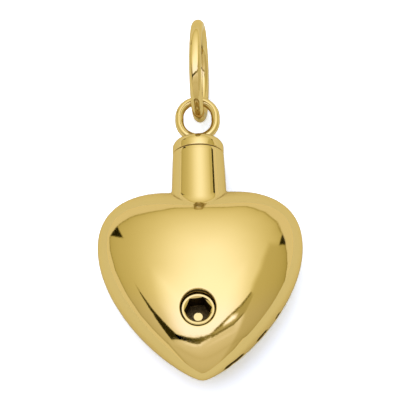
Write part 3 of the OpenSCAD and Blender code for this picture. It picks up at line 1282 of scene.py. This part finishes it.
@dataclass
class Studio:
    """White floor, soft light from all round with a broad panel overhead, and the camera."""

    sizes: Sizes
    elevation_deg: float = 70.0
    roll_deg: float = 1.2
    lens: float = 300.0
    sensor: float = 36.0
    frame_px: float = 400.0
    mm_per_px: float = 0.0778
    heart_px: Pair = (200.4, 258.3)
    floor_size: float = 1.2
    floor_seen: Triple = (1.42, 1.5, 1.87)
    floor_mirrored: Triple = (0.68, 0.68, 0.575)
    second_tint: Triple = (0.53, 0.61, 0.8)
    sun_from: Triple = (-0.45, 0.35, 1.0)
    sun_spread_deg: float = 70.0
    sun_strength: float = 0.95
    backdrop: float = 1.0
    wall_level: float = 0.72
    hill_gain: float = 1.05
    hill_middle: Pair = (5.0, 0.0)
    hill_spread: Pair = (26.0, 49.0)
    band: Triple = (0.823, 0.807, 0.635)
    red_part: Pair = (0.93, -0.1)
    green_part: float = 0.823
    blue_part: Pair = (0.11, 0.49)
    cool_gain: float = 0.28
    cool_least: float = 0.96
    cool_from: Pair = (-10.0, 25.0)
    wobble: float = 2.6
    wobble_scale: float = 0.075
    wobble_apart: float = 300.0
    edge_soft: float = 0.7
    edge_shade: float = 0.2
    edge_reach: float = 5.0
    edge_line: float = 0.3
    edge_line_in: float = 0.8
    edge_line_half: Pair = (1.2, 0.2)
    room: Screen = Screen(
        1.0,
        (
            (0, -86), (21, -82), (33, -74), (46, -62), (58.5, -50.5), (68, -37), (79, -20), (92, -3),
            (93, 12), (92, 28), (85, 42), (74, 50), (-59, 50), (-68, 38), (-74, 25), (-78, 5),
            (-79, -15), (-76, -35), (-69, -51.5), (-58, -59.5), (-45, -66), (-33, -74), (-22, -81),
        ),
    )
    room_front: Screen = Screen(1.0, ((68, 44), (64, 110), (-56, 110), (-58, 44)))
    screens: tuple[Screen, ...] = (
        Screen(1.76, ((-24, -10), (22, -12), (25, 4), (24, 18), (-22, 30), (-26, 20)), 12.0),
        Screen(0.84, ((-50, 32), (-28, 32), (20, 24), (42, 18), (62, 110), (-62, 110)), 1.5, (0.0, -0.0045)),
        Screen(0.98, ((-38, 33), (16, 24), (34, 19), (40, 30), (-34, 42)), 5.0),
        Screen(
            0.68,
            ((47, -37), (66, -37), (92, -3), (92, 42), (62, 90), (49, 45), (42, 24), (38, 8), (38.5, -8)),
            3.5,
            (-0.003, 0.0),
        ),
        Screen(0.04, ((-53.5, -7), (-42.5, 12), (-47, 17), (-50.5, 3)), 0.7),
        Screen(0.03, ((-43, 11), (-30, 28.5), (-30, 33), (-44, 39), (-47.5, 17)), 0.8),
        Screen(
            0.16,
            ((-31, 28.5), (0, 22.5), (16, 20.5), (16, 24.5), (0, 27.5), (-31, 33.5)),
            0.8,
            (0.008, 0.0),
        ),
        Screen(0.56, ((12, 21), (24, 14.5), (33, 21.5), (18, 25.5)), 1.0),
        Screen(0.56, ((22, 16), (31, 5), (38.5, -3), (41.5, 0), (41, 13), (32, 22)), 1.0),
        Screen(0.24, ((13, 19.5), (31, 5), (33, 5.5), (24, 15), (14, 21.5)), 0.6),
        Screen(0.24, ((31, 5), (38, -3), (39.5, -2), (33, 6.5)), 0.6),
        Screen(0.24, ((13, 24), (32, 19.5), (33, 21.5), (14, 26)), 0.6),
        Screen(0.24, ((32, 19.5), (38, 13), (39, 14), (33, 21.5)), 0.6),
        Screen(1.85, ((21.5, 16), (26.5, 11.8), (31.5, 12), (32, 15), (27, 17.5), (22, 18.3)), 1.7),
        Screen(0.02, ((-68, -50), (-54.5, -59.5), (-52.5, -46)), 0.8),
        Screen(0.03, ((58.5, -47.5), (67.5, -36), (57, -36)), 0.8),
    )

    def _room_colour(self, graph: Graph) -> Value:
        """Colour of the studio in each direction.

        The brightness is a wall's level with a hill of light, and screens laid over it. It
        darkens towards the room's edge, past which lies the pale table. Dim light is
        warmer than strong light: its blue part falls faster than its green part. Slow
        noise sways the directions, so that no edge is straight.

        Args:
            graph: the world's nodes.

        Returns:
            The colour.
        """
        x, y, z = graph.split(graph.add("ShaderNodeTexCoord", None, (), "Generated"))
        flat = (x * x + y * y + TINY) ** 0.5
        down = flat.math("ARCTAN2", z) * (180 / math.pi)
        u, v = down * x / flat, -(down * y / flat)
        spot = graph.add("ShaderNodeCombineXYZ", None, [u, v, 0.0])
        apart = (0.0, self.wobble_apart)
        sway = [graph.noise(spot.shifted(by), self.wobble_scale, 1.0) - 0.5 for by in apart]
        u, v = u + sway[0] * self.wobble, v + sway[1] * self.wobble
        where = graph.add("ShaderNodeCombineXYZ", None, [u, v, 1.0])
        off_u = (u - self.hill_middle[0]) / self.hill_spread[0]
        off_v = (v - self.hill_middle[1]) / self.hill_spread[1]
        hill = ((off_u * off_u + off_v * off_v) * -0.5).math("EXPONENT")
        light = hill * self.hill_gain + self.wall_level
        for screen in self.screens:
            light = screen.over(light, where)
        inside = self.room.depth(where).math("MAXIMUM", self.room_front.depth(where))
        shade = (inside.math("MAXIMUM", 0.0) / -self.edge_reach).math("EXPONENT") * self.edge_shade
        line = abs(inside - self.edge_line_in).between(*self.edge_line_half) * self.edge_line
        light = light * (1 - shade) * (1 - line)
        red = light * (light * self.red_part[1] + self.red_part[0])
        blue = light * (light * self.blue_part[1] + self.blue_part[0])
        blue = blue * (v.between(*self.cool_from) * self.cool_gain + self.cool_least)
        room = graph.add("ShaderNodeCombineXYZ", None, [red, light * self.green_part, blue])
        return graph.mix(inside.between(-self.edge_soft, self.edge_soft), self.band, room)

    def _world(self) -> None:
        """Lights the studio from all directions; a straight look at it gives the plain backdrop.

        Light that has already bounced off gold twice is tinted, so that it doesn't turn orange.
        """
        world = bpy.data.worlds.new("studio")
        bpy.context.scene.world = world
        world.use_nodes = True
        graph = Graph(world.node_tree)
        path = graph.node("ShaderNodeLightPath")
        twice = Value(graph, path.outputs["Glossy Depth"]).math("GREATER_THAN", 1.5)
        tint = graph.mix(twice, (1.0, 1.0, 1.0), self.second_tint)
        parts = [self._room_colour(graph), tint]
        colour = graph.add("ShaderNodeVectorMath", {"operation": "MULTIPLY"}, parts)
        seen = Value(graph, path.outputs["Is Camera Ray"])
        colour = graph.mix(seen, colour, 3 * (self.backdrop,))
        shine = graph.add("ShaderNodeBackground", None, {"Color": colour, "Strength": 1.0})
        graph.node("ShaderNodeOutputWorld", None, [shine])

    def _floor(self) -> None:
        """Lays the plain white floor."""
        half = self.floor_size / 2
        mesh = bpy.data.meshes.new("floor")
        corners = [(-half, -half, 0), (half, -half, 0), (half, half, 0), (-half, half, 0)]
        mesh.from_pydata(corners, [], [(0, 1, 2, 3)])
        floor = bpy.data.objects.new("floor", mesh)
        bpy.context.scene.collection.objects.link(floor)
        made = bpy.data.materials.new("floor_white")
        made.use_nodes = True
        graph = Graph(made.node_tree)
        seen = graph.add("ShaderNodeLightPath", None, (), "Is Camera Ray")
        colour = graph.mix(seen, self.floor_mirrored, self.floor_seen)
        shader = graph.node("ShaderNodeBsdfDiffuse", None, {"Color": colour})
        graph.node("ShaderNodeOutputMaterial", None, [Value(graph, shader.outputs[0])])
        mesh.materials.append(made)

    def _sun(self) -> None:
        """Adds the broad soft light that only the floor shows, so that the shadows fall to one side."""
        data = bpy.data.lights.new("soft_sun", "SUN")
        data.energy, data.angle = self.sun_strength, math.radians(self.sun_spread_deg)
        light = bpy.data.objects.new("soft_sun", data)
        light.rotation_mode = "QUATERNION"
        light.rotation_quaternion = Vector(self.sun_from).to_track_quat("Z", "Y")
        light.visible_glossy = False
        bpy.context.scene.collection.objects.link(light)

    def _camera(self) -> None:
        """Aims the camera so that the heart's middle falls on its place in the picture."""
        lying = self.sizes.lying()
        heart = Vector((0, lying.middle_y, lying.lift)) * METRES
        rise = math.radians(self.elevation_deg)
        roll = math.radians(self.roll_deg)
        back = Vector((0, -math.cos(rise), math.sin(rise)))
        level_right, level_up = Vector((1, 0, 0)), Vector((0, math.sin(rise), math.cos(rise)))
        right = level_right * math.cos(roll) - level_up * math.sin(roll)
        up = level_right * math.sin(roll) + level_up * math.cos(roll)
        step = self.mm_per_px * METRES
        off_x = self.frame_px / 2 - self.heart_px[0]
        off_y = self.heart_px[1] - self.frame_px / 2
        aim = heart + right * (off_x * step) + up * (off_y * step)
        distance = self.frame_px * step * self.lens / self.sensor
        data = bpy.data.cameras.new("camera")
        data.lens, data.sensor_width = self.lens, self.sensor
        data.clip_start, data.clip_end = 0.01, 10.0
        camera = bpy.data.objects.new("camera", data)
        bpy.context.scene.collection.objects.link(camera)
        turned = Matrix((right, up, back)).transposed().to_4x4()
        camera.matrix_world = Matrix.Translation(aim + back * distance) @ turned
        bpy.context.scene.camera = camera

    def build(self) -> None:
        """Makes the world, the floor and the camera, and sets plain colour handling."""
        self._world()
        self._floor()
        self._sun()
        self._camera()
        settings = bpy.context.scene.view_settings
        settings.view_transform, settings.look = "Standard", "None"


def dress(piece: bpy.types.Object, finish: PolishedGold, body: str, node: str) -> None:
    """Gives a piece its material, hangs it on its CAD body and hides the CAD node that it stands for.

    Args:
        piece: the new piece.
        finish: its finish.
        body: the CAD body that it rides on.
        node: the CAD node that it stands for.
    """
    piece.data.materials.append(finish.material)
    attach(piece, body)
    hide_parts(node)
    low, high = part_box(node)
    points = np.array([corner[:] for corner in piece.bound_box])
    off = np.abs(np.stack([points.min(0) - low, points.max(0) - high])).max()
    faces = len(piece.data.polygons)
    LOG.info("%s: %d faces, box within %.3f mm of %s", piece.name, faces, off / METRES, node)


def main() -> None:
    """Builds the studio and the pieces in order."""
    logging.basicConfig(level=logging.INFO, format="%(name)s: %(message)s")
    sizes = Sizes()
    gold = PolishedGold("mirror_gold", Slot.GOLD, (0.84, 0.62, 0.27))
    screw_gold = PolishedGold("turned_gold", Slot.SCREW, (0.84, 0.63, 0.29), roughness=0.08, wear=0.05)
    Studio(sizes).build()
    dress(HeartShell(sizes).build(), gold, "pendant", "heart_body")
    dress(NeckCap(sizes).build(), gold, "pendant", "neck_cap")
    dress(JumpRing().build(), gold, "pendant", "jump_ring")
    dress(ClosureScrew(sizes).build(), screw_gold, "screw", "closure_screw")


if __name__ == "__main__":
    main()
